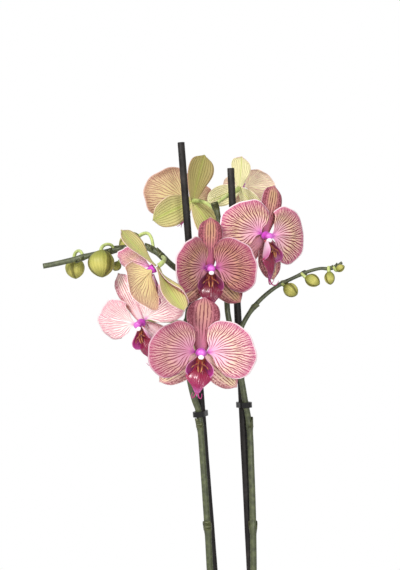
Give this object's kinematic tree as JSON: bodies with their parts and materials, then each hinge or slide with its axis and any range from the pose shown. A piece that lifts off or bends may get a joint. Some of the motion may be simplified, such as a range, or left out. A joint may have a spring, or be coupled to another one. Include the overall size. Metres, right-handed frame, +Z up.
{
  "type": "potted orchid",
  "caption": "Moth orchid in a plain round pot, with veined pink flowers and green buds on two arching spikes clipped to thin stakes.",
  "frame": {"origin": "centre of the pot's flat underside", "axes": "+Z up the plant, -Y the side the open flowers look to, +X to the viewer's right of that side, where the side branch arches"},
  "size_m": [0.3092, 0.181, 0.5818],
  "materials": {
    "pot": "smooth satin glaze",
    "bark": "rough, dry bark chips",
    "leaf": "waxy satin",
    "crown": "waxy satin",
    "root": "matt, papery",
    "spike": "satin",
    "stake": "satin",
    "clip": "glossy",
    "bud": "satin",
    "sepal": "soft matt",
    "petal": "soft matt",
    "lip": "satin"
  },
  "bodies": {
    "root": {"pot": "pot", "potting_bark": "bark", "crown": "crown", "stake_left": "stake", "stake_right": "stake", "leaf_low_right": "leaf", "leaf_low_left": "leaf", "leaf_middle_right": "leaf", "leaf_middle_left": "leaf", "leaf_upper_right": "leaf", "leaf_upper_left": "leaf", "root_over_rim": "root", "root_front": "root", "root_back": "root", "spike_left": "spike", "spike_right": "spike", "side_branch": "spike", "clip_left_low": "clip", "clip_left_middle": "clip", "clip_left_high": "clip", "clip_right_low": "clip", "clip_right_middle": "clip", "front_flower_sepals": "sepal", "front_flower_petal_left": "petal", "front_flower_petal_right": "petal", "front_flower_lip": "lip", "middle_flower_sepals": "sepal", "middle_flower_petal_left": "petal", "middle_flower_petal_right": "petal", "middle_flower_lip": "lip", "right_flower_sepals": "sepal", "right_flower_petal_left": "petal", "right_flower_petal_right": "petal", "right_flower_lip": "lip", "left_flower_sepals": "sepal", "left_flower_petal_left": "petal", "left_flower_petal_right": "petal", "left_flower_lip": "lip", "side_flower_sepals": "sepal", "side_flower_petal_left": "petal", "side_flower_petal_right": "petal", "side_flower_lip": "lip", "back_left_flower_sepals": "sepal", "back_left_flower_petal_left": "petal", "back_left_flower_petal_right": "petal", "back_left_flower_lip": "lip", "back_right_flower_sepals": "sepal", "back_right_flower_petal_left": "petal", "back_right_flower_petal_right": "petal", "back_right_flower_lip": "lip", "left_bud_1": "bud", "left_bud_2": "bud", "left_bud_3": "bud", "left_bud_4": "bud", "left_bud_5": "bud", "right_bud_1": "bud", "right_bud_2": "bud", "right_bud_3": "bud", "right_bud_4": "bud"}
  },
  "joints": []
}
